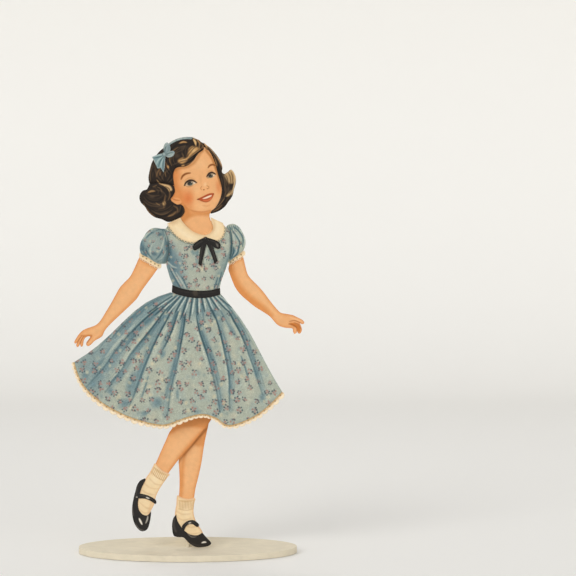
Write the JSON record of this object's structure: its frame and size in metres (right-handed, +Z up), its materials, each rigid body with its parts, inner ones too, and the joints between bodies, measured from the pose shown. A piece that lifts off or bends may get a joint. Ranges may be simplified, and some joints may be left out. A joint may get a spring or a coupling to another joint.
{
  "type": "paper doll",
  "caption": "Jointed card paper doll in a cut-out paper dress with fold-over tabs, standing on a slotted oval card base",
  "frame": {"origin": "centre of the underside of the oval stand base", "axes": "+Z up, the doll faces -Y, +X to the doll's own left"},
  "size_m": [0.1157, 0.06, 0.2089],
  "materials": {
    "plain_card": "uncoated greyboard",
    "skin_print_card": "printed matt card",
    "skin_print_paper": "printed matt paper",
    "hair_print_paper": "printed matt paper",
    "dress_print_paper": "printed matt paper with small sprigs",
    "lace_print_paper": "printed matt paper",
    "blue_ribbon_paper": "printed matt paper",
    "black_print_paper": "printed satin paper",
    "shoe_print_paper": "printed gloss paper",
    "brass": "stamped and tumbled"
  },
  "bodies": {
    "stand": {"stand_base": "plain_card"},
    "doll": {"stand_fin": "plain_card", "body_card": "skin_print_card", "face": "skin_print_paper", "hair_crown": "hair_print_paper", "right_curls": "hair_print_paper", "left_curls": "hair_print_paper", "headband": "blue_ribbon_paper", "hair_bow": "blue_ribbon_paper", "hair_bow_knot": "blue_ribbon_paper", "bodice": "dress_print_paper", "right_collar": "lace_print_paper", "left_collar": "lace_print_paper", "neck_bow": "black_print_paper", "neck_bow_knot": "black_print_paper", "belt": "black_print_paper", "skirt": "dress_print_paper", "hem_lace": "lace_print_paper", "right_shoulder_brad": "brass", "left_shoulder_brad": "brass", "right_hip_brad": "brass", "left_hip_brad": "brass", "right_shoulder_washer": "plain_card", "left_shoulder_washer": "plain_card", "left_hip_washer": "plain_card", "right_shoulder_tab": "dress_print_paper", "left_shoulder_tab": "dress_print_paper"},
    "right_arm": {"right_arm_card": "skin_print_card", "right_sleeve": "dress_print_paper", "right_cuff_lace": "lace_print_paper"},
    "left_arm": {"left_arm_card": "skin_print_card", "left_sleeve": "dress_print_paper", "left_cuff_lace": "lace_print_paper"},
    "right_leg": {"right_leg_card": "skin_print_card", "right_sock": "lace_print_paper", "right_shoe": "shoe_print_paper", "right_shoe_strap": "shoe_print_paper"},
    "left_leg": {"left_leg_card": "skin_print_card", "left_sock": "lace_print_paper", "left_shoe": "shoe_print_paper", "left_shoe_strap": "shoe_print_paper"},
    "right_waist_tab": {"right_waist_tab": "dress_print_paper"},
    "left_waist_tab": {"left_waist_tab": "dress_print_paper"},
    "headband_tab": {"headband_tab": "blue_ribbon_paper"}
  },
  "joints": [
    {"name": "doll_lift", "type": "slide", "parent": "stand", "child": "doll", "axis": [0, 0, 1], "range_m": [0, 0.02]},
    {"name": "right_shoulder", "type": "hinge", "parent": "doll", "child": "right_arm", "pos_m": [-0.00525, -0.0052, 0.1549], "axis": [0, 1, 0], "range_deg": [-12, 75]},
    {"name": "left_shoulder", "type": "hinge", "parent": "doll", "child": "left_arm", "pos_m": [0.016, -0.0052, 0.1549], "axis": [0, 1, 0], "range_deg": [-75, 12]},
    {"name": "right_hip", "type": "hinge", "parent": "doll", "child": "right_leg", "pos_m": [-0.001, -0.0067, 0.1064], "axis": [0, 1, 0], "range_deg": [-20, 20]},
    {"name": "left_hip", "type": "hinge", "parent": "doll", "child": "left_leg", "pos_m": [0.012, -0.0048, 0.1064], "axis": [0, 1, 0], "range_deg": [-20, 20]},
    {"name": "right_waist_tab_fold", "type": "hinge", "parent": "doll", "child": "right_waist_tab", "pos_m": [-0.0071, -0.0071, 0.13315], "axis": [0, 0, 1], "range_deg": [0, 120]},
    {"name": "left_waist_tab_fold", "type": "hinge", "parent": "doll", "child": "left_waist_tab", "pos_m": [0.0164, -0.0071, 0.13315], "axis": [0, 0, -1], "range_deg": [0, 120]},
    {"name": "headband_tab_fold", "type": "hinge", "parent": "doll", "child": "headband_tab", "pos_m": [0.0016, -0.0071, 0.2087], "axis": [1, 0, 0], "range_deg": [0, 150]}
  ]
}
